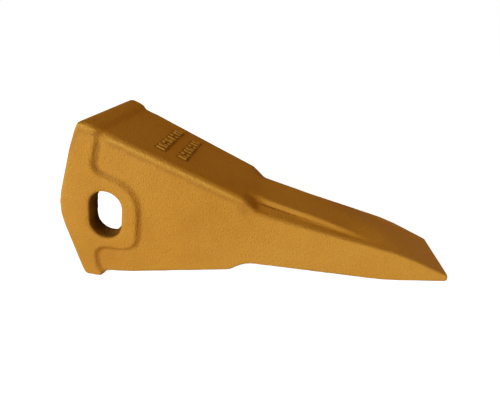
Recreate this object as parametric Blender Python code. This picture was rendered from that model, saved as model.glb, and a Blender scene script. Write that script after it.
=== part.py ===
"""Ripper shank tooth: one steel casting, a wedge with a raised rear collar, a pin slot
through both cheeks, an open rear socket and a chisel blade stiffened by a central rib.

Metres, +Z up, +X towards the digging edge, +Y across the width. The tooth rests on the
underside of its collar and on the flat under its tip. The origin is on the ground, in
the middle of the length and of the width."""

import math

import bmesh
import bpy

# Whole casting.
LENGTH = 0.3414
COLLAR_HEIGHT = 0.1464
COLLAR_WIDTH = 0.1092
TIP_WIDTH = 0.068

# Rear outline of the collar, seen from the side: heights and leans of its straight runs.
APEX_HEIGHT = 0.07
BEND_HEIGHT = 0.1225
LOWER_LEAN = 9.3
MIDDLE_LEAN = 22.8
UPPER_LEAN = 26.6
APEX_RADIUS = 0.061
BEND_RADIUS = 0.040
COLLAR_CORNER = 0.0048

# Collar and pin boss stand proud of the panels. RAISE is how far at the root of the wedge,
# and PANEL_DRAW is how much more where the panels are drawn in beside the band.
RAISE = 0.0018
PANEL_DRAW = 0.0016
PANEL_DRAW_END = 0.060
BAND_LENGTH = 0.0174
BAND_LEAN = 20.6
BAND_FOOT = 0.0210
BAND_WAIST = 0.0145
WAIST_HEIGHT = 0.0083
BOSS_FRONT = 0.0721
BOSS_TOP = 0.0876
BOSS_FOOT = 0.0297
BOSS_LEAN = 8.7
BOSS_SLOPE = 22.5
BOSS_UNDER_SLOPE = 5.7
BOSS_TOP_RADIUS = 0.028
BOSS_FOOT_RADIUS = 0.014
BAND_BLEND = 0.0095
WAIST_BLEND = 0.016
HEEL_BLEND = 0.009
BAND_CORNER = 0.0015
COLLAR_EDGE = 0.0036
COLLAR_TOP_EDGE = 0.0060
FOOT_CORNER = 0.0030
FOOT_EDGE = 0.0024
BOSS_EDGE = 0.0012
# The walls of the boss and of the band's front spread by WALL_RUN over WALL_DEPTH.
WALL_RUN = 0.0036
WALL_DEPTH = 0.0040
WALL_START = 0.008

# Pin slot, leaning forward at its top.
SLOT_WIDTH = 0.0296
SLOT_HEIGHT = 0.0460
SLOT_LEAN = 10.4
SLOT_FROM_REAR = 0.0408
SLOT_ABOVE_GROUND = 0.0639
SLOT_EDGE = 0.0018

# Ridge line along the top.
RIDGE_BEND_FROM_REAR = 0.1723
RIDGE_BEND_HEIGHT = 0.0734
RIDGE_BEND_RADIUS = 0.060
CREST_FROM_REAR = 0.208
CREST_HEIGHT = 0.0614
CREST_RADIUS = 0.300
CHISEL_LENGTH = 0.0558
CHISEL_HEIGHT = 0.0345
CHISEL_RADIUS = 0.300
TIP_HEIGHT = 0.0071

# Underside: a heel that ends in a step, then a rise that comes down to the tip's flat.
SOLE_LIFT = 0.0013
STEP_FROM_REAR = 0.1454
STEP_LIFT = 0.008
STEP_LENGTH = 0.0147
STEP_HEIGHT = 0.0077
STEP_RADIUS = 0.006
HOLLOW_RADIUS = 0.036
FLAT_LENGTH = 0.0558
FLAT_RADIUS = 0.200

# Shoulders beside the rib of the blade, from the neck to where they run out.
NECK_FROM_REAR = 0.1597
SHOULDER_LENGTH = 0.0115
SHOULDER_START_DEPTH = 0.0065
RIB_DEPTH = 0.0056
SHOULDER_END_DEPTH = 0.0035
RIB_RUNOUT = 0.0364
RUNOUT_PAST_CHISEL = 0.0144
GROOVE_DEPTH = 0.0012
GROOVE_LENGTH = 0.0564
NECK_RADIUS = 0.004
SHOULDER_RADIUS = 0.011
SHOULDER_SWEEP = 0.200
RUNOUT_RADIUS = 0.100
RIB_WIDTH_REAR = 0.0487
RIB_WIDTH_FRONT = 0.0544
RIB_FLARE = 0.0045
CROWN_FROM_REAR = 0.232
CROWN_LENGTH = 0.048
RIB_DRAFT = 0.0010

# Cast roundings along the wedge and the blade.
TOP_EDGE = 0.0065
SHOULDER_EDGE_REAR = 0.0052
SHOULDER_EDGE_FRONT = 0.0030
RIB_EDGE = 0.0017
RIB_FILLET = 0.0028
SOLE_EDGE = 0.0036
TIP_EDGE = 0.0024

# Socket for the shank nose: walls, depth and roundings.
CHEEK = 0.0171
ROOF = 0.0180
FLOOR = 0.0118
SOCKET_DEPTH = 0.137
SOCKET_CORNER = 0.007
SOCKET_NOSE = 0.013
MOUTH_CHAMFER = 0.008

# Fineness of the facets, and how far a cutter runs past the surface that it cuts.
LEAST_STEP = 0.001
DRAW_STEPS = 4
NECK_STEPS = 6
BLADE_STEPS = 16
MOUTH_STEPS = 10
SLOT_STEPS = 14
PAST = 0.002
# Points closer than this are one point.
SAME_POINT = 0.000002

PAINT = (0.55, 0.30, 0.045, 1.0)
PAINT_ROUGHNESS = 0.5
NODE = "ripper_tooth"


def lean(degrees):
    return math.tan(math.radians(degrees))


def mix(first, second, share):
    """Value between first and second, share running from 0 to 1 and held there."""
    return first + (second - first) * max(0.0, min(1.0, share))


def smooth(share):
    """Share from 0 to 1, starting and ending gently."""
    share = max(0.0, min(1.0, share))
    return share * share * (3.0 - 2.0 * share)


def quarter(steps):
    """Steps of a quarter round of radius 1, as pairs (inwards from one face, from the other)."""
    angles = [math.radians(90.0 * k / steps) for k in range(steps + 1)]
    return [(1.0 - math.sin(a), 1.0 - math.cos(a)) for a in angles]


def rounded(corners, closed=False, step=12.0):
    """Points of a line through corners (x, z, radius, ...), its corners turned into arcs.

    What follows a corner's radius is handed on to each of its points."""
    out = []
    count = len(corners)
    for i, (x, z, radius, *more) in enumerate(corners):
        if radius <= 0.0 or (not closed and i in (0, count - 1)):
            out.append((x, z, *more))
            continue
        ax, az = corners[i - 1][:2]
        bx, bz = corners[(i + 1) % count][:2]
        la = math.hypot(ax - x, az - z)
        lb = math.hypot(bx - x, bz - z)
        ua = ((ax - x) / la, (az - z) / la)
        ub = ((bx - x) / lb, (bz - z) / lb)
        half = 0.5 * math.acos(max(-1.0, min(1.0, ua[0] * ub[0] + ua[1] * ub[1])))
        # Two neighbouring arcs share the run between their corners.
        cut = min(radius / math.tan(half), 0.49 * la, 0.49 * lb)
        radius = cut * math.tan(half)
        mid = (ua[0] + ub[0], ua[1] + ub[1])
        size = math.hypot(*mid)
        reach = radius / math.sin(half)
        cx = x + mid[0] / size * reach
        cz = z + mid[1] / size * reach
        start = math.atan2(z + ua[1] * cut - cz, x + ua[0] * cut - cx)
        end = math.atan2(z + ub[1] * cut - cz, x + ub[0] * cut - cx)
        turn = (end - start + math.pi) % (2.0 * math.pi) - math.pi
        steps = max(1, round(abs(math.degrees(turn)) / step))
        for k in range(steps + 1):
            a = start + turn * k / steps
            out.append((cx + radius * math.cos(a), cz + radius * math.sin(a), *more))
    return out


def arc(cy, cz, radius, a0, a1, steps):
    """Points of an arc in the cross section, angles in degrees from +Y towards +Z."""
    out = []
    for k in range(steps + 1):
        a = math.radians(a0 + (a1 - a0) * k / steps)
        out.append((cy + radius * math.cos(a), cz + radius * math.sin(a)))
    return out


def at(line, x):
    """Height of a line at x, its points in order of x."""
    if x <= line[0][0]:
        (x0, z0), (x1, z1) = line[0], line[1]
    elif x >= line[-1][0]:
        (x0, z0), (x1, z1) = line[-2], line[-1]
    else:
        for (x0, z0), (x1, z1) in zip(line, line[1:]):
            if x0 <= x <= x1:
                break
    return z0 + (z1 - z0) * (x - x0) / (x1 - x0)


def rear_corners():
    """Lower, apex, bend and upper corner of the rear outline, its rearmost point at x 0."""
    half = math.radians((LOWER_LEAN + MIDDLE_LEAN) / 2.0)
    tilt = math.radians((MIDDLE_LEAN - LOWER_LEAN) / 2.0)
    apex = APEX_RADIUS - APEX_RADIUS / math.cos(half) * math.cos(tilt)
    low = apex + APEX_HEIGHT * lean(LOWER_LEAN)
    bend = apex + (BEND_HEIGHT - APEX_HEIGHT) * lean(MIDDLE_LEAN)
    high = bend + (COLLAR_HEIGHT - BEND_HEIGHT) * lean(UPPER_LEAN)
    return (low, 0.0), (apex, APEX_HEIGHT), (bend, BEND_HEIGHT), (high, COLLAR_HEIGHT)


REAR = rear_corners()
# The wedge starts under the collar's upper corner, and its top falls away from there.
ROOT = REAR[3][0]
ROOT_HEIGHT = COLLAR_HEIGHT - RAISE
ROOT_HALF = COLLAR_WIDTH / 2.0 - RAISE
TOP_SLOPE = (ROOT_HEIGHT - RIDGE_BEND_HEIGHT) / (RIDGE_BEND_FROM_REAR - ROOT)
TAPER = (ROOT_HALF - TIP_WIDTH / 2.0) / (LENGTH - ROOT)


def rear_line():
    """Rear outline from the ground up, as points (x, z)."""
    low, apex, bend, high = REAR
    corners = [(*low, 0.0), (*apex, APEX_RADIUS), (*bend, BEND_RADIUS), (*high, 0.0)]
    return rounded(corners, step=5.0)


def rear_at(z, line):
    """x of the rear outline at height z."""
    return at([(b, a) for a, b in line], z)


def ridge_line():
    """Middle of the top, from behind the root to the tip."""
    return rounded([
        (0.0, ROOT_HEIGHT + TOP_SLOPE * ROOT, 0.0),
        (RIDGE_BEND_FROM_REAR, RIDGE_BEND_HEIGHT, RIDGE_BEND_RADIUS),
        (CREST_FROM_REAR, CREST_HEIGHT, CREST_RADIUS),
        (LENGTH - CHISEL_LENGTH, CHISEL_HEIGHT, CHISEL_RADIUS),
        (LENGTH, TIP_HEIGHT, 0.0),
    ], step=1.5)


def sole_line():
    """Middle of the underside, from the rear to the tip."""
    return rounded([
        (0.0, SOLE_LIFT, 0.0),
        (STEP_FROM_REAR, STEP_LIFT, STEP_RADIUS),
        (STEP_FROM_REAR + STEP_LENGTH, STEP_LIFT + STEP_HEIGHT, HOLLOW_RADIUS),
        (LENGTH - FLAT_LENGTH, 0.0, FLAT_RADIUS),
        (LENGTH, 0.0, 0.0),
    ], step=4.0)


def shoulder_line():
    """Outer edge of the shoulders beside the rib, from the neck to where they run out."""
    ridge = ridge_line()
    neck = NECK_FROM_REAR
    foot = neck + SHOULDER_LENGTH
    end = LENGTH - CHISEL_LENGTH + RUNOUT_PAST_CHISEL
    middle = mix(foot, end, 0.4)
    thin = end - RIB_RUNOUT
    return rounded([
        (0.0, at(ridge, 0.0), 0.0),
        (neck, at(ridge, neck), NECK_RADIUS),
        (foot, at(ridge, foot) - SHOULDER_START_DEPTH, SHOULDER_RADIUS),
        (middle, at(ridge, middle) - RIB_DEPTH, SHOULDER_SWEEP),
        (thin, at(ridge, thin) - SHOULDER_END_DEPTH, SHOULDER_SWEEP),
        (end, at(ridge, end), RUNOUT_RADIUS),
        (LENGTH, at(ridge, LENGTH), 0.0),
    ], step=9.0)


def panel_half(x):
    """Half width between the flat side panels at x."""
    return ROOT_HALF - TAPER * (x - ROOT)


def side_half(x):
    """Half width of the wedge at x, its panels drawn in towards the band."""
    return panel_half(x) - PANEL_DRAW * smooth((PANEL_DRAW_END - x) / (PANEL_DRAW_END - ROOT))


def section(x, ridge, sole, shoulder):
    """Right half of the cross section at x, from the bottom centre to the top centre."""
    half = side_half(x)
    low = at(sole, x)
    top = at(ridge, x)
    ledge = min(top, at(shoulder, x))
    room = 0.49 * (ledge - low)
    deep = min(1.0, (top - ledge) / RIB_DEPTH)
    # Roundings beside the rib reach their size where the ledge is half as deep as it gets.
    grown = min(1.0, 2.0 * deep)
    along = (x - NECK_FROM_REAR) / (LENGTH - CHISEL_LENGTH - NECK_FROM_REAR)
    outer = mix(SHOULDER_EDGE_REAR, SHOULDER_EDGE_FRONT, along)
    if x < NECK_FROM_REAR + SHOULDER_LENGTH:
        outer = mix(TOP_EDGE, outer, grown)
    outer = min(outer, room)
    under = min(SOLE_EDGE, room)
    rib = 0.5 * mix(RIB_WIDTH_REAR, RIB_WIDTH_FRONT, along)
    rib += RIB_FLARE * mix(1.0, 0.0, (x - NECK_FROM_REAR) / SHOULDER_LENGTH) ** 2
    edge = RIB_EDGE * grown
    fillet = RIB_FILLET * grown
    # Near the neck the shoulders fall towards the rib.
    past_foot = x - NECK_FROM_REAR - SHOULDER_LENGTH
    fall = deep * mix(GROOVE_DEPTH, 0.0, past_foot / GROOVE_LENGTH)
    inner = rib + RIB_DRAFT * deep + max(fillet, LEAST_STEP)
    pts = [(0.0, low), (0.5 * half, low)]
    pts += arc(half - under, low + under, under, -90.0, 0.0, 3)
    pts += arc(half - outer, ledge - outer, outer, 0.0, 90.0, 5)
    upper = [(0.5 * (inner + half - outer), ledge - 0.5 * fall)]
    steps = 4
    if deep > 0.02:
        upper += arc(inner, ledge - fall + fillet, fillet, -90.0, -180.0, steps)
        upper += arc(rib - edge, top - edge, edge, 8.0, 90.0, steps)
    else:
        count = 2 * (steps + 1)
        upper += [(mix(inner, rib - RIB_EDGE, k / (count - 1)), top) for k in range(count)]
    upper += [(share * upper[-1][0], top) for share in (0.75, 0.5, 0.25, 0.0)]
    # Towards the chisel the rib gives way to a crown that falls to the outer edges.
    crown = smooth((x - CROWN_FROM_REAR) / CROWN_LENGTH)
    for y, z in upper:
        crown_z = mix(ledge, top, smooth(1.0 - y / (half - outer)))
        pts.append((y, mix(z, crown_z, crown)))
    return pts


def full_ring(half_pts):
    """Both halves of a section, without doubling the two centre points."""
    return half_pts + [(-y, z) for y, z in reversed(half_pts[1:-1])]


def skin(name, rings):
    """Closed mesh object through rings of equal length, with a flat face at each end."""
    mesh = bmesh.new()
    rows = [[mesh.verts.new(p) for p in ring] for ring in rings]
    count = len(rows[0])
    for a, b in zip(rows, rows[1:]):
        for i in range(count):
            j = (i + 1) % count
            mesh.faces.new((a[i], a[j], b[j], b[i]))
    mesh.faces.new(rows[0])
    mesh.faces.new(list(reversed(rows[-1])))
    bmesh.ops.recalc_face_normals(mesh, faces=mesh.faces)
    data = bpy.data.meshes.new(name)
    mesh.to_mesh(data)
    mesh.free()
    item = bpy.data.objects.new(name, data)
    bpy.context.scene.collection.objects.link(item)
    return item


def stations(ridge, sole, shoulder, first, last):
    """Places along X between first and last where the casting is given a cross section."""
    neck = NECK_FROM_REAR
    spots = [mix(first, neck, share) for share in (0.0, 0.45, 0.75)]
    spots += [mix(first, PANEL_DRAW_END, k / DRAW_STEPS) for k in range(1, DRAW_STEPS + 1)]
    for line in (ridge, sole, shoulder):
        spots += [x for x, _ in line]
    spots += [neck + SHOULDER_LENGTH * k / NECK_STEPS for k in range(-2, 2 * NECK_STEPS - 1)]
    spots += [mix(neck, LENGTH, k / BLADE_STEPS) for k in range(1, BLADE_STEPS)]
    kept = [first]
    for x in sorted(spots):
        if x > kept[-1] + LEAST_STEP and x < last:
            kept.append(x)
    return kept


def rear_ring(ridge, sole, shoulder):
    """Rear end of the wedge, leaning with the collar so that it stays hidden inside it."""
    height = at(ridge, ROOT)
    low_x = REAR[0][0] + 0.5 * BAND_FOOT
    high_x = ROOT + 0.3 * BAND_LENGTH
    slant = (high_x - low_x) / height
    out = []
    for y, z in full_ring(section(ROOT, ridge, sole, shoulder)):
        rise = z / height * TOP_SLOPE
        x = (low_x + slant * (z + rise * ROOT)) / (1.0 + slant * rise)
        out.append((x, y * side_half(x) / side_half(ROOT), z + rise * (ROOT - x)))
    return out


def tip_rings(ridge, sole, shoulder):
    """Rings that round the end of the chisel into a short blunt face."""
    end = LENGTH - TIP_EDGE
    half, low, top = panel_half(end), at(sole, end), at(ridge, end)
    rings = []
    for short, narrow in quarter(3):
        x = LENGTH - TIP_EDGE * short
        ins = TIP_EDGE * narrow
        fall = 0.5 * (top - at(ridge, x))
        ring = []
        for y, z in full_ring(section(end, ridge, sole, shoulder)):
            high = (z - low) / (top - low)
            ring.append((x, y * (1.0 - ins / half), z + ins * (1.0 - 2.0 * high) - fall * high))
        rings.append(ring)
    return rings


def body():
    """Wedge and blade in one skin, its rear end hidden inside the collar."""
    lines = ridge_line(), sole_line(), shoulder_line()
    rings = [rear_ring(*lines)]
    first = ROOT + 0.5 * BAND_LENGTH
    last = LENGTH - TIP_EDGE - LEAST_STEP
    for x in stations(*lines, first, last):
        rings.append([(x, y, z) for y, z in full_ring(section(x, *lines))])
    return skin(NODE, rings + tip_rings(*lines))


def collar_outline():
    """Side outline of collar and boss, anticlockwise from the ground.

    Its points are (x, z, edge rounding, how far the wall spreads)."""
    low, apex, bend, high = REAR
    top_x = high[0] + BAND_LENGTH * math.cos(math.atan(TOP_SLOPE))
    top_z = COLLAR_HEIGHT - TOP_SLOPE * (top_x - high[0])
    # Inner corner, where the front edge of the band meets the upper edge of the boss.
    run = lean(BAND_LEAN)
    fall = lean(BOSS_SLOPE)
    drop = (BOSS_TOP + fall * (BOSS_FRONT - top_x) - top_z) / (1.0 + fall * run)
    inner = (top_x + run * drop, top_z + drop)
    waist = low[0] + BAND_WAIST
    foot_x = BOSS_FRONT - lean(BOSS_LEAN) * (BOSS_TOP - BOSS_FOOT)
    under = BOSS_FOOT + lean(BOSS_UNDER_SLOPE) * (foot_x - waist)
    wall = (BOSS_EDGE, WALL_RUN)
    rear = (COLLAR_EDGE, 0.0)
    return rounded([
        (*low, COLLAR_CORNER, *rear),
        (low[0] + BAND_FOOT, 0.0, FOOT_CORNER, FOOT_EDGE, 0.0),
        (waist, WAIST_HEIGHT, HEEL_BLEND, *wall),
        (waist, under, WAIST_BLEND, *wall),
        (foot_x, BOSS_FOOT, BOSS_FOOT_RADIUS, *wall),
        (BOSS_FRONT, BOSS_TOP, BOSS_TOP_RADIUS, *wall),
        (*inner, BAND_BLEND, *wall),
        (top_x - run * WALL_START, top_z - WALL_START, 0.0, *wall),
        (top_x, top_z, BAND_CORNER, BOSS_EDGE, 0.0),
        (*high, COLLAR_CORNER, *rear),
        (*bend, BEND_RADIUS, *rear),
        (*apex, APEX_RADIUS, *rear),
    ], closed=True, step=11.0)


def inset_line(points, insets):
    """Closed outline, each of its points moved inwards by its own inset."""
    out = []
    count = len(points)
    for i, ((x, z, *_), inset) in enumerate(zip(points, insets)):
        ax, az = points[i - 1][:2]
        bx, bz = points[(i + 1) % count][:2]
        la = math.hypot(x - ax, z - az)
        lb = math.hypot(bx - x, bz - z)
        na = (-(z - az) / la, (x - ax) / la)
        nb = (-(bz - z) / lb, (bx - x) / lb)
        mx, mz = na[0] + nb[0], na[1] + nb[1]
        scale = 2.0 / (mx * mx + mz * mz)
        out.append((x + mx * scale * inset, z + mz * scale * inset))
    return out


def top_edge_cutter(side):
    """Prism along a top edge of the collar, hollowed so that it leaves a round edge."""
    r = COLLAR_TOP_EDGE
    profile = [(r, -PAST), (-PAST, -PAST), (-PAST, r)]
    profile += [(r * a, r * b) for b, a in quarter(5)]
    half = COLLAR_WIDTH / 2.0
    flat = math.hypot(1.0, TOP_SLOPE)
    rings = []
    for x in (ROOT - BAND_LENGTH, ROOT + 2.0 * BAND_LENGTH):
        top = COLLAR_HEIGHT - TOP_SLOPE * (x - ROOT)
        rings.append([(x - w * TOP_SLOPE / flat, side * (half - u), top - w / flat)
                      for u, w in profile])
    return skin("edge", rings)


def collar():
    """Raised rear band with the pin boss, as wide as the casting."""
    outline = collar_outline()
    half = COLLAR_WIDTH / 2.0
    rings = []
    for share, down in quarter(3):
        line = inset_line(outline, [share * edge for _, _, edge, _ in outline])
        rings.append([(x, down * edge - half, z)
                      for (x, z), (_, _, edge, _) in zip(line, outline)])
    line = inset_line(outline, [-spread for _, _, _, spread in outline])
    rings.append([(x, edge + WALL_DEPTH - half, z)
                  for (x, z), (_, _, edge, _) in zip(line, outline)])
    rings += [[(x, -y, z) for x, y, z in ring] for ring in reversed(rings)]
    block = skin("collar", rings)
    for side in (-1.0, 1.0):
        combine(block, top_edge_cutter(side), "DIFFERENCE")
    return block


def socket_size(x):
    """Half width, floor and roof of the socket at x, from the walls round it."""
    floor = mix(SOLE_LIFT, STEP_LIFT, x / STEP_FROM_REAR) + FLOOR
    roof = ROOT_HEIGHT - TOP_SLOPE * (x - ROOT) - ROOF
    return panel_half(x) - CHEEK, floor, roof


def socket_ring(x_of, grow):
    """Ring round the socket at x_of(z), grown outwards by grow."""
    half = socket_size(x_of(APEX_HEIGHT))[0]
    low = socket_size(x_of(0.0))[1]
    high = COLLAR_HEIGHT
    # The roof falls along X, so its height is settled in a few rounds.
    for _ in range(6):
        high = socket_size(x_of(high))[2]
    low -= grow
    high += grow
    r = SOCKET_CORNER
    pts = arc(half + grow - r, low + r, r, -90.0, 0.0, 3)
    side = [mix(low + r, high - r, k / MOUTH_STEPS) for k in range(1, MOUTH_STEPS)]
    pts += [(half + grow, z) for z in side]
    pts += arc(half + grow - r, high - r, r, 0.0, 90.0, 3)
    pts += [(-y, z) for y, z in reversed(pts)]
    return [(x_of(z), y + math.copysign(socket_size(x_of(z))[0] - half, y), z) for y, z in pts]


def socket_cutter():
    """Wedge pocket for the shank nose, its mouth following the rear outline."""
    rear = rear_line()
    mouth = socket_ring(lambda z: rear_at(z, rear) - PAST, MOUTH_CHAMFER + PAST)
    outside = min(x for x, _, _ in mouth) - MOUTH_CHAMFER
    rings = [[(outside, y, z) for _, y, z in mouth], mouth]
    rings.append(socket_ring(lambda z: rear_at(z, rear) + MOUTH_CHAMFER, 0.0))
    deep = SOCKET_DEPTH - SOCKET_NOSE
    for k in range(5):
        x = mix(ROOT + 2.0 * MOUTH_CHAMFER, deep, k / 4.0)
        rings.append(socket_ring(lambda _, x=x: x, 0.0))
    for short, narrow in quarter(3)[1:]:
        x = SOCKET_DEPTH - SOCKET_NOSE * short
        rings.append(socket_ring(lambda _, x=x: x, -SOCKET_NOSE * narrow))
    return skin("socket", rings)


def slot_cutter():
    """Leaning pin slot through both cheeks, its outer edges rounded."""
    half = COLLAR_WIDTH / 2.0
    radius = SLOT_WIDTH / 2.0
    run = SLOT_HEIGHT / 2.0 - radius
    tilt = math.radians(SLOT_LEAN)

    def ring(y, grow):
        out = []
        for centre, start in ((run, 0.0), (-run, 180.0)):
            for u, v in arc(0.0, centre, radius + grow, start, start + 180.0, SLOT_STEPS):
                x = SLOT_FROM_REAR + u * math.cos(tilt) + v * math.sin(tilt)
                z = SLOT_ABOVE_GROUND - u * math.sin(tilt) + v * math.cos(tilt)
                out.append((x, y, z))
        return out

    rows = [(half + SLOT_EDGE, SLOT_EDGE)]
    rows += [(half - SLOT_EDGE * down, SLOT_EDGE * grow) for grow, down in quarter(2)]
    rings = [ring(-y, grow) for y, grow in rows]
    rings += [ring(y, grow) for y, grow in reversed(rows)]
    return skin("slot", rings)


def combine(target, other, operation):
    """Join or cut target with other, then drop other."""
    mod = target.modifiers.new(operation.lower(), "BOOLEAN")
    mod.operation = operation
    mod.object = other
    mod.solver = "EXACT"
    bpy.context.view_layer.update()
    graph = bpy.context.evaluated_depsgraph_get()
    done = bpy.data.meshes.new_from_object(target.evaluated_get(graph))
    target.modifiers.clear()
    old = target.data
    target.data = done
    done.name = target.name
    bpy.data.meshes.remove(old)
    bpy.data.objects.remove(other)


def finish(item):
    """Bring the origin under the middle, merge doubles, turn the faces out and shade."""
    mesh = bmesh.new()
    mesh.from_mesh(item.data)
    bmesh.ops.translate(mesh, verts=mesh.verts, vec=(-LENGTH / 2.0, 0.0, 0.0))
    bmesh.ops.remove_doubles(mesh, verts=mesh.verts, dist=SAME_POINT)
    bmesh.ops.dissolve_degenerate(mesh, edges=mesh.edges, dist=SAME_POINT)
    bmesh.ops.recalc_face_normals(mesh, faces=mesh.faces)
    mesh.to_mesh(item.data)
    mesh.free()
    item.data.shade_smooth()
    item.data.set_sharp_from_angle(angle=math.radians(35.0))


def paint(item):
    """Yellow paint, baked on over the cast skin."""
    made = bpy.data.materials.new("cast_paint")
    made.use_nodes = True
    shader = made.node_tree.nodes["Principled BSDF"]
    shader.inputs["Base Color"].default_value = PAINT
    shader.inputs["Roughness"].default_value = PAINT_ROUGHNESS
    shader.inputs["Metallic"].default_value = 0.0
    item.data.materials.clear()
    item.data.materials.append(made)


for old in list(bpy.data.objects):
    bpy.data.objects.remove(old)
tooth = body()
combine(tooth, collar(), "UNION")
combine(tooth, socket_cutter(), "DIFFERENCE")
combine(tooth, slot_cutter(), "DIFFERENCE")
finish(tooth)
paint(tooth)
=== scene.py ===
import math

import bmesh
import bpy
import numpy as np
from mathutils import Matrix, Vector, noise
from mathutils.bvhtree import BVHTree


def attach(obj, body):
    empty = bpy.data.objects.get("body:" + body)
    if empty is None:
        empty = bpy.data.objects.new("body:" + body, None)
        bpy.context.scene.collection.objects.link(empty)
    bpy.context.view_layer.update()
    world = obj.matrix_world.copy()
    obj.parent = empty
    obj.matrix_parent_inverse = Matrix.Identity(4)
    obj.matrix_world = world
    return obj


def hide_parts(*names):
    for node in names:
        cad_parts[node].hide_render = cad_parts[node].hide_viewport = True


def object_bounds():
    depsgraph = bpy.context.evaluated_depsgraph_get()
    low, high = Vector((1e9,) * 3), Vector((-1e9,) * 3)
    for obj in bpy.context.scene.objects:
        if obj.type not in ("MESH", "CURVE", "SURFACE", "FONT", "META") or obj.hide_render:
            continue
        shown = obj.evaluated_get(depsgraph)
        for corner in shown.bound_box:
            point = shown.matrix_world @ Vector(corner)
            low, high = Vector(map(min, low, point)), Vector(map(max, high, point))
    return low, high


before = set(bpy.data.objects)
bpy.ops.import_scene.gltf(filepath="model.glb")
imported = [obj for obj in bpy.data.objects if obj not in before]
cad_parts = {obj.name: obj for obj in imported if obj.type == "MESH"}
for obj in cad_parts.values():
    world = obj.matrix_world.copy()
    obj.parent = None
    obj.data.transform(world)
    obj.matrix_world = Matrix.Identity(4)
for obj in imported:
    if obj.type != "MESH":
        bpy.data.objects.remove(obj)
cad_low, cad_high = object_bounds()


# The tooth is a single steel casting, poured in a sand mould. Every corner that the mould
# made comes out soft, inside corners as well as outside ones, and the broad faces are
# never quite flat. It slides over the nose of the shank and a pin through the slot holds it.

SKIN_SIZE = 0.00145
SOFTENING_ROUNDS = 2
KEPT_FULL = -0.52
NECK_ROUNDS = 12
NECK_FROM = 0.156
NECK_TO = 0.172
NECK_INSIDE = 0.021
NECK_OUTSIDE = 0.036
NECK_ABOVE = 0.066
NECK_FADE = 0.006
# Distance from the rear, height, reach and rounds of each.
WORN_SPOTS = (
    (0.0335, 0.144, 0.010, 7),
    (0.0515, 0.137, 0.012, 14),
    (0.0120, 0.001, 0.008, 6),
    (0.0325, 0.001, 0.008, 8),
)
LEDGE_FROM = 0.168
LEDGE_TO = 0.245
LEDGE_OUTSIDE = (0.0388, 0.0364)
LEDGE_WIDTH = 0.009
LEDGE_INSIDE = 0.0268
LEDGE_INSIDE_FADE = 0.0015
LEDGE_RISE = 0.0027
UNDERSIDE_BELOW = 0.03
WAVE_SIZE = 0.028
WAVE_DEPTH = 0.00012
RIPPLE_SIZE = 0.0075
RIPPLE_DEPTH = 0.00009
SLOT_FROM_REAR = 0.0408
SLOT_ABOVE_GROUND = 0.0639
SLOT_REACH = 0.027
SLOT_SKIN = 0.0007
SLOT_FADE = 0.003
SLOT_INSIDE = (0.024, 0.030)
SLOT_RIM = (0.020, 0.026)
BEND_ROUNDS = 7
BEND_FULL = 0.0003
BESIDE_ROUNDS = 27
COLLAR_TO = 0.10
COLLAR_FADE = 0.03
WEDGE_TO = 0.145
WEDGE_FADE = 0.02
# Painted shade beside the neck: where it sits and how far it reaches.
SHADED_NECK_FROM_REAR = 0.160
SHADED_NECK_ABOVE_GROUND = 0.071
SHADED_NECK_REACH = 0.010
SHADED_NECK_SIDE = (0.036, 0.039)
# Painted highlight strengths: pale paint on convex edges, in a band along the wedge's top edges and
# on the ledges beside the rib.
EDGE_HIGHLIGHT = 0.12
TOP_EDGE_HIGHLIGHT = 0.9
LEDGE_HIGHLIGHT = 0.3
# Painted shade strengths: in inside corners, on the upward faces of edges, below the wedge's top
# edges and beside the neck.
HOLLOW_SHADE = 0.6
UPPER_EDGE_SHADE = 0.35
BELOW_EDGE_SHADE = 0.3
NECK_SHADE = 0.25
# How much darker the pin slot is made, partly as scale and partly as painted shade.
SLOT_SCALE_AND_SHADE = 0.27
SKY_RAYS = 48
SKY_REACH = 0.09
SKY_START = 0.0006

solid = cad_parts["ripper_tooth"]


def mesh_from(shape, name):
    made = bpy.data.meshes.new(name)
    shape.to_mesh(made)
    shape.free()
    return made


def applied(item):
    """Mesh of the object with its modifiers worked in."""
    bpy.context.view_layer.update()
    graph = bpy.context.evaluated_depsgraph_get()
    made = bpy.data.meshes.new_from_object(item.evaluated_get(graph))
    item.modifiers.clear()
    return made


def fade(values, low, high):
    """0 below low and 1 above high, with a soft passage between them."""
    share = np.clip((values - low) / (high - low), 0.0, 1.0)
    return share * share * (3.0 - 2.0 * share)


shape = bmesh.new()
shape.from_mesh(solid.data)
bmesh.ops.remove_doubles(shape, verts=shape.verts, dist=0.00001)
casting = bpy.data.objects.new("tooth_casting", mesh_from(shape, "tooth_casting"))
bpy.context.scene.collection.objects.link(casting)
remesh = casting.modifiers.new("skin", "REMESH")
remesh.mode = "VOXEL"
remesh.voxel_size = SKIN_SIZE
remesh.adaptivity = 0.0

shape = bmesh.new()
shape.from_mesh(applied(casting))
shape.verts.ensure_lookup_table()
pairs = np.array([(edge.verts[0].index, edge.verts[1].index) for edge in shape.edges])
neighbours = np.bincount(pairs.ravel(), minlength=len(shape.verts))


def softened(values, rounds, share=0.5):
    """Each row of values drawn towards the mean of its neighbours on the mesh, in rounds."""
    for _ in range(rounds):
        means = np.empty_like(values)
        for column in range(values.shape[1]):
            near = np.bincount(pairs[:, 0], values[pairs[:, 1], column], len(values))
            near += np.bincount(pairs[:, 1], values[pairs[:, 0], column], len(values))
            means[:, column] = near / neighbours
        values = values + share * (means - values)
    return values


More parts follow.
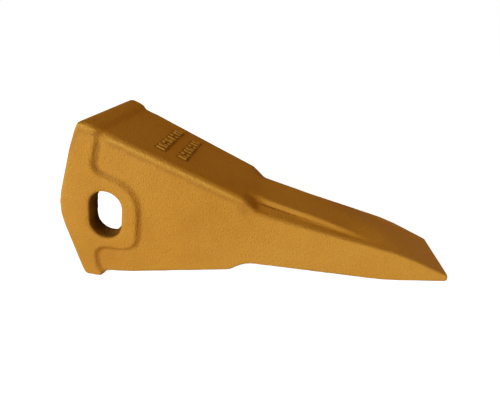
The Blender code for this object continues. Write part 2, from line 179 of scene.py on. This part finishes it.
# Each round is followed by one that pushes back, so that corners are rounded without the
# whole casting shrinking. The hollows where the rib grows out of the wedge were rounded most
# in the pattern, so they get more rounds than the rest.
places = np.array([v.co for v in shape.verts])
for _ in range(SOFTENING_ROUNDS):
    places = softened(places, 1)
    places = softened(places, 1, KEPT_FULL)
from_rear = places[:, 0] - cad_low.x
at_neck = fade(from_rear, NECK_FROM - NECK_FADE, NECK_FROM)
at_neck *= 1.0 - fade(from_rear, NECK_TO, NECK_TO + NECK_FADE)
at_neck *= fade(np.abs(places[:, 1]), NECK_INSIDE - NECK_FADE, NECK_INSIDE)
at_neck *= 1.0 - fade(np.abs(places[:, 1]), NECK_OUTSIDE, NECK_OUTSIDE + NECK_FADE)
at_neck *= fade(places[:, 2], NECK_ABOVE - NECK_FADE, NECK_ABOVE)
places = softened(places, NECK_ROUNDS, 0.5 * at_neck[:, None])

# The pattern was worn most on the corners of the collar and where its top steps down.
for spot_from_rear, height, reach, rounds in WORN_SPOTS:
    off = np.hypot(places[:, 0] - cad_low.x - spot_from_rear, places[:, 2] - height)
    places = softened(places, rounds, 0.5 * (1.0 - fade(off, 0.5 * reach, reach))[:, None])

# Grinding left the ledges beside the rib falling a little to the outside, most at the neck.
along = np.clip((from_rear - LEDGE_FROM) / (LEDGE_TO - LEDGE_FROM), 0.0, 1.0)
outside = LEDGE_OUTSIDE[0] + (LEDGE_OUTSIDE[1] - LEDGE_OUTSIDE[0]) * along
on_ledge = np.clip((outside - np.abs(places[:, 1])) / LEDGE_WIDTH, 0.0, 1.0) * (1.0 - along)
on_ledge *= fade(from_rear, LEDGE_FROM, LEDGE_FROM + NECK_FADE)
on_ledge *= fade(np.abs(places[:, 1]), LEDGE_INSIDE, LEDGE_INSIDE + LEDGE_INSIDE_FADE)
on_ledge *= fade(places[:, 2], UNDERSIDE_BELOW, UNDERSIDE_BELOW + 0.01)
places[:, 2] += LEDGE_RISE * on_ledge

# The scale of the casting and the paint lie thickest in the pin slot, which no tool cleans.
for v, place in zip(shape.verts, places):
    v.co = place
shape.normal_update()
normals = np.array([v.normal for v in shape.verts])
from_middle = np.hypot(places[:, 0] - cad_low.x - SLOT_FROM_REAR, places[:, 2] - SLOT_ABOVE_GROUND)
in_slot = 1.0 - fade(from_middle, SLOT_REACH, SLOT_REACH + SLOT_FADE)
in_slot *= 1.0 - fade(np.abs(normals[:, 1]), 0.3, 0.95)
in_slot *= fade(np.abs(places[:, 1]), *SLOT_INSIDE)
places += SLOT_SKIN * in_slot[:, None] * normals
for v, place in zip(shape.verts, places):
    v.co = place
shape.normal_update()
normals = np.array([v.normal for v in shape.verts])

# More softening would move outside corners in and inside corners out. How far tells where
# painted highlight goes, most along the top edges of the wedge, and where painted shade goes: in
# inside corners, on the upper faces of edges, below the top edges and beside the neck.
bends = ((places - softened(places, BEND_ROUNDS)) * normals).sum(axis=1)
bends = softened(bends[:, None] / BEND_FULL, 2)[:, 0]
edges = fade(bends, 0.2, 1.4)
hollows = fade(-bends, 0.2, 1.4)
hollows *= 1.0 - fade(from_rear, COLLAR_TO, COLLAR_TO + COLLAR_FADE)
facing_up = fade(normals[:, 2], 0.4, 0.75)
on_wedge = 1.0 - fade(from_rear, WEDGE_TO, WEDGE_TO + WEDGE_FADE)
top_edges = fade(bends, 0.2, 0.6) * on_wedge
top_edges *= fade(normals[:, 2], 0.32, 0.5) * (1.0 - fade(normals[:, 2], 0.55, 0.75))
top_edges *= fade(from_middle - SLOT_REACH, *SLOT_RIM)
below_edges = fade(softened(top_edges[:, None], BESIDE_ROUNDS)[:, 0], 0.02, 0.16)
below_edges *= 1.0 - fade(normals[:, 2], 0.1, 0.35)
from_neck = np.hypot(from_rear - SHADED_NECK_FROM_REAR, places[:, 2] - SHADED_NECK_ABOVE_GROUND)
beside_neck = 1.0 - fade(from_neck, 0.2 * SHADED_NECK_REACH, SHADED_NECK_REACH)
beside_neck *= fade(np.abs(places[:, 1]), *SHADED_NECK_SIDE)
# Painted highlight: pale where edges turn towards the lamp, along the wedge's top edges and on the
# ledges.
highlights = np.maximum(EDGE_HIGHLIGHT * edges * (1.0 - facing_up), TOP_EDGE_HIGHLIGHT * top_edges)
highlights = np.maximum(highlights, LEDGE_HIGHLIGHT * on_ledge)
# Painted shade: darker in inside corners, on upward-facing edges, below the top edges and beside the
# neck.
shades = np.maximum(HOLLOW_SHADE * hollows, UPPER_EDGE_SHADE * edges * facing_up)
shades += BELOW_EDGE_SHADE * below_edges + NECK_SHADE * beside_neck

# How much of the open air each place faces tells where the spray reached: where little, the
# colour goes to dark scale, partly bare scale and partly painted shade in the recesses.
golden = math.pi * (3.0 - math.sqrt(5.0))
sky = []
for number in range(SKY_RAYS):
    level = 1.0 - (2.0 * number + 1.0) / SKY_RAYS
    ring = math.sqrt(1.0 - level * level)
    sky.append(Vector((ring * math.cos(golden * number), ring * math.sin(golden * number), level)))
skin = BVHTree.FromBMesh(shape)
airs = np.empty((len(shape.verts), 1))
for v in shape.verts:
    start = v.co + v.normal * SKY_START
    whole = 0.0
    clear = 0.0
    for direction in sky:
        weight = direction.dot(v.normal)
        if weight > 0.05:
            whole += weight
            if skin.ray_cast(start, direction, SKY_REACH)[0] is None:
                clear += weight
    airs[v.index] = clear / whole
# The pin slot is made darker still: part scale, part painted shade.
airs = softened(airs, 2)[:, 0] - SLOT_SCALE_AND_SHADE * in_slot

# The first layer carries painted highlight, the second painted shade, the third the open-air share.
highlight_layer = shape.verts.layers.float.new("painted_highlight")
shade_layer = shape.verts.layers.float.new("painted_shade")
air_layer = shape.verts.layers.float.new("air")
for v, painted_highlight, painted_shade, air in zip(shape.verts, highlights, shades, airs):
    v[highlight_layer] = painted_highlight
    v[shade_layer] = painted_shade
    v[air_layer] = air
    wave = 0.5 + 0.5 * noise.noise(v.co / WAVE_SIZE)
    ripple = 0.5 + 0.5 * noise.noise(v.co / RIPPLE_SIZE)
    v.co -= v.normal * (WAVE_DEPTH * wave + RIPPLE_DEPTH * ripple)


# Two rows of plain raised bars stand on the sloping top. They are cast with the tooth, with
# a painted highlight on their tops and painted shade round their feet.

BAR_WIDTH = 0.0019
BAR_RISE = 0.0013
BAR_EDGE = 0.0009
# Painted shade round the bars' feet: how far out from the bar it lies and how wide it is.
BAR_SHADE_FROM_EDGE = 0.0008
BAR_SHADE_WIDTH = 0.0014
CELL_WIDTH = 0.0078
ROW_FROM_REAR = (0.087, 0.1046)
ONE_LONG = ((0.0, 0.0, 0.0082),)
TWO_SHORT = ((0.0, -0.0025, 0.0032), (0.0, 0.0025, 0.0032))
LONG_AND_SHORT = ((-0.0017, 0.0, 0.0082), (0.0019, 0.0016, 0.0046))
UPPER_ROW = (
    ONE_LONG, LONG_AND_SHORT, TWO_SHORT, LONG_AND_SHORT,
    ONE_LONG, TWO_SHORT, ONE_LONG, LONG_AND_SHORT,
)
LOWER_ROW = (
    LONG_AND_SHORT, TWO_SHORT, ONE_LONG, LONG_AND_SHORT,
    TWO_SHORT, ONE_LONG, LONG_AND_SHORT,
)
BAR_MARGIN = 0.0022
# Strength of the painted highlight on the bar tops.
BAR_HIGHLIGHT = 0.8
TOP_FACE_DEPTH = 0.002

across = Vector((0.0, 1.0, 0.0))
row_hits = []
for row_from_rear in ROW_FROM_REAR:
    above = Vector((cad_low.x + row_from_rear, 0.0, cad_high.z + 0.1))
    _, place, up, _ = solid.ray_cast(above, Vector((0.0, 0.0, -1.0)))
    row_hits.append(place)
down_slope = across.cross(up)

bars = []
for place, cells in zip(row_hits, (UPPER_ROW, LOWER_ROW)):
    first = -0.5 * CELL_WIDTH * (len(cells) - 1)
    for number, cell in enumerate(cells):
        for side, along, length in cell:
            middle = place + across * (first + number * CELL_WIDTH + side) + down_slope * along
            bars.append((middle, 0.5 * length))


def from_bars(point):
    """How far a point of the top face lies from the nearest bar, less than 0 on the bar."""
    if abs((point - row_hits[0]).dot(up)) > TOP_FACE_DEPTH:
        return 1.0
    nearest = 1.0
    for middle, reach in bars:
        offset = point - middle
        past_end = max(0.0, abs(offset.dot(down_slope)) - reach + 0.5 * BAR_WIDTH)
        nearest = min(nearest, math.hypot(past_end, offset.y) - 0.5 * BAR_WIDTH)
    return nearest


marked = [f for f in shape.faces if from_bars(f.calc_center_median()) < BAR_MARGIN]
cut = list({edge for f in marked for edge in f.edges})
bmesh.ops.subdivide_edges(shape, edges=cut, cuts=2, use_grid_fill=True)
for v in shape.verts:
    gap = from_bars(v.co)
    if gap < BAR_MARGIN:
        share = max(0.0, min(1.0, 0.5 - gap / BAR_EDGE))
        share *= share * (3.0 - 2.0 * share)
        v.co += up * share * BAR_RISE
        # Painted highlight on the bar tops and painted shade round their feet.
        v[highlight_layer] = BAR_HIGHLIGHT * share
        v[shade_layer] = max(0.0, 1.0 - abs(gap - BAR_SHADE_FROM_EDGE) / BAR_SHADE_WIDTH)

casting.data = mesh_from(shape, "tooth_casting")
casting.data.shade_smooth()

# Ochre paint over the sand-cast skin: patchy and a little pebbled, with painted highlights on edges,
# ledges and bar tops, painted shade in the hollows, on and under edges and beside the neck, and thin
# over dark scale where the spray couldn't reach, which is partly painted shade in the recesses.

PAINT = (0.52, 0.264, 0.022, 1.0)
PAINT_PALE = (0.60, 0.335, 0.050, 1.0)
PAINT_DEEP = (0.40, 0.176, 0.011, 1.0)
# Colour of the painted highlight on edges, ledges and bar tops.
HIGHLIGHT_TONE = (0.66, 0.40, 0.065, 1.0)
# Dark scale colour, which also serves as painted shade in the slot and socket.
SCALE_AND_SHADE_TONE = (0.045, 0.022, 0.006, 1.0)
# Colour of the painted shade in hollows, on and under edges, beside the neck and round the bars.
SHADE_TONE = (0.10, 0.032, 0.0, 1.0)
SHEEN_ROUGH = 0.46


def add(tree, kind, **settings):
    """A node of that kind, its settings given as names, its inputs as in_ and a socket's name."""
    node = tree.nodes.new(kind)
    for name, value in settings.items():
        if name.startswith("in_"):
            node.inputs[name[3:].replace("_", " ")].default_value = value
        else:
            setattr(node, name, value)
    return node


def spread(tree, source, low, high, out_low=0.0, out_high=1.0):
    """The source's values from low to high, drawn out between the two given ones."""
    node = add(tree, "ShaderNodeMapRange")
    for place, value in enumerate((low, high, out_low, out_high), 1):
        node.inputs[place].default_value = value
    tree.links.new(source, node.inputs[0])
    return node.outputs[0]


def blend_colour(tree, share, first, second):
    node = add(tree, "ShaderNodeMix", data_type="RGBA")
    for socket, value in ((node.inputs[0], share), (node.inputs[6], first), (node.inputs[7], second)):
        if isinstance(value, (tuple, float)):
            socket.default_value = value
        else:
            tree.links.new(value, socket)
    return node.outputs[2]


paint = bpy.data.materials.new("cast_paint")
paint.use_nodes = True
tree = paint.node_tree
coat = tree.nodes["Principled BSDF"]
object_places = add(tree, "ShaderNodeTexCoord").outputs["Object"]


def cloud(scale, detail=3.0, rough=0.55):
    node = add(tree, "ShaderNodeTexNoise", in_Scale=scale, in_Detail=detail, in_Roughness=rough)
    tree.links.new(object_places, node.inputs["Vector"])
    return node.outputs["Fac"]


grain = cloud(1300.0, 2.0, 0.6)
peel = cloud(680.0, 3.0, 0.65)
patch = cloud(34.0, 4.0, 0.6)
drift = cloud(9.0, 2.0, 0.5)
highlight_here = add(tree, "ShaderNodeAttribute", attribute_name="painted_highlight").outputs["Fac"]
shade_here = add(tree, "ShaderNodeAttribute", attribute_name="painted_shade").outputs["Fac"]
air_here = add(tree, "ShaderNodeAttribute", attribute_name="air").outputs["Fac"]

colour = blend_colour(tree, spread(tree, patch, 0.35, 0.7, 0.0, 0.45), PAINT, PAINT_DEEP)
colour = blend_colour(tree, spread(tree, drift, 0.4, 0.65, 0.0, 0.5), colour, PAINT_PALE)
colour = blend_colour(tree, spread(tree, grain, 0.5, 0.75, 0.0, 0.4), colour, PAINT_DEEP)
# Painted shade: darkened towards this colour where the second layer says.
colour = blend_colour(tree, spread(tree, shade_here, 0.0, 1.0, 0.0, 0.9), colour, SHADE_TONE)
# Painted highlight: the pale tint, broken up by noise, goes where the first layer says.
streaked_highlight = add(tree, "ShaderNodeMath", operation="MULTIPLY")
tree.links.new(highlight_here, streaked_highlight.inputs[0])
tree.links.new(spread(tree, peel, 0.35, 0.6, 0.5, 1.0), streaked_highlight.inputs[1])
colour = blend_colour(tree, streaked_highlight.outputs[0], colour, HIGHLIGHT_TONE)
# Dark where little open air is faced: partly bare scale, partly painted shade in the slot and socket.
colour = blend_colour(tree, spread(tree, air_here, 0.5, 0.15, 0.0, 0.95), colour, SCALE_AND_SHADE_TONE)
tree.links.new(colour, coat.inputs["Base Color"])
sheen = spread(tree, peel, 0.3, 0.7, SHEEN_ROUGH - 0.06, SHEEN_ROUGH + 0.1)
tree.links.new(sheen, coat.inputs["Roughness"])
coat.inputs["Specular IOR Level"].default_value = 0.3

fine = add(tree, "ShaderNodeBump", in_Strength=0.6, in_Distance=0.0003)
coarse = add(tree, "ShaderNodeBump", in_Strength=1.0, in_Distance=0.0014)
tree.links.new(grain, fine.inputs["Height"])
tree.links.new(peel, coarse.inputs["Height"])
tree.links.new(coarse.outputs["Normal"], fine.inputs["Normal"])
tree.links.new(fine.outputs["Normal"], coat.inputs["Normal"])

casting.data.materials.clear()
casting.data.materials.append(paint)
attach(casting, "root")
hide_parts("ripper_tooth")


# The setting is a plain white table under one broad soft lamp, low and to the left of the
# camera, with a dim warm room round it. The table and the room show as white.

KEY_DIRECTION = (-0.45, -0.85, 0.28)
KEY_DISTANCE = 5.0
KEY_SIZE = 2.3
KEY_POWER = 229.0
ROOM_COLOUR = (0.37, 0.200, 0.045, 1.0)
ROOM_STRENGTH = 1.0
TABLE_COLOUR = (0.85, 0.85, 0.85, 1.0)
TABLE_GLOW = (0.75, 0.84, 0.94, 1.0)
TABLE_SIZE = 6.0

centre = (cad_low + cad_high) / 2.0

shape = bmesh.new()
bmesh.ops.create_grid(shape, x_segments=1, y_segments=1, size=TABLE_SIZE / 2.0)
table = bpy.data.objects.new("table", mesh_from(shape, "table"))
bpy.context.scene.collection.objects.link(table)

white = bpy.data.materials.new("table_white")
white.use_nodes = True
tree = white.node_tree
tree.nodes.remove(tree.nodes["Principled BSDF"])
matt = add(tree, "ShaderNodeBsdfDiffuse", in_Color=TABLE_COLOUR)
glow = add(tree, "ShaderNodeEmission", in_Color=TABLE_GLOW)
seen = add(tree, "ShaderNodeLightPath").outputs["Is Camera Ray"]
both = add(tree, "ShaderNodeAddShader")
tree.links.new(seen, glow.inputs["Strength"])
tree.links.new(matt.outputs[0], both.inputs[0])
tree.links.new(glow.outputs[0], both.inputs[1])
tree.links.new(both.outputs[0], tree.nodes["Material Output"].inputs["Surface"])
table.data.materials.append(white)

room = bpy.data.worlds.new("room")
bpy.context.scene.world = room
room.use_nodes = True
tree = room.node_tree
seen = add(tree, "ShaderNodeLightPath").outputs["Is Camera Ray"]
walls = blend_colour(tree, seen, ROOM_COLOUR, (1.0, 1.0, 1.0, 1.0))
tree.links.new(walls, tree.nodes["Background"].inputs["Color"])
tree.nodes["Background"].inputs["Strength"].default_value = ROOM_STRENGTH

lamp = bpy.data.lights.new("key", "AREA")
lamp.shape = "DISK"
lamp.size = KEY_SIZE
lamp.energy = KEY_POWER
key = bpy.data.objects.new("key", lamp)
bpy.context.scene.collection.objects.link(key)
towards = Vector(KEY_DIRECTION).normalized()
key.location = centre + towards * KEY_DISTANCE
key.rotation_euler = towards.to_track_quat("Z", "Y").to_euler()

# The camera stands in front of the tooth and a little to the right, looking down on it.

CAMERA_PLACE = (0.02447, -0.31942, 0.20569)
CAMERA_YAW = 0.1095
CAMERA_PITCH = 0.428
CAMERA_ROLL = -0.0078
FOCAL_PIXELS = 366.87
PICTURE_WIDTH = 500
SENSOR = 36.0

eye = bpy.data.cameras.new("camera")
eye.sensor_width = SENSOR
eye.lens = FOCAL_PIXELS / PICTURE_WIDTH * SENSOR
eye.clip_start = 0.01
eye.clip_end = 50.0
camera = bpy.data.objects.new("camera", eye)
bpy.context.scene.collection.objects.link(camera)
turned = Matrix.Rotation(CAMERA_YAW, 4, "Z") @ Matrix.Rotation(math.pi / 2.0 - CAMERA_PITCH, 4, "X")
camera.matrix_world = Matrix.Translation(CAMERA_PLACE) @ turned @ Matrix.Rotation(CAMERA_ROLL, 4, "Z")
bpy.context.scene.camera = camera
bpy.context.scene.view_settings.view_transform = "Standard"
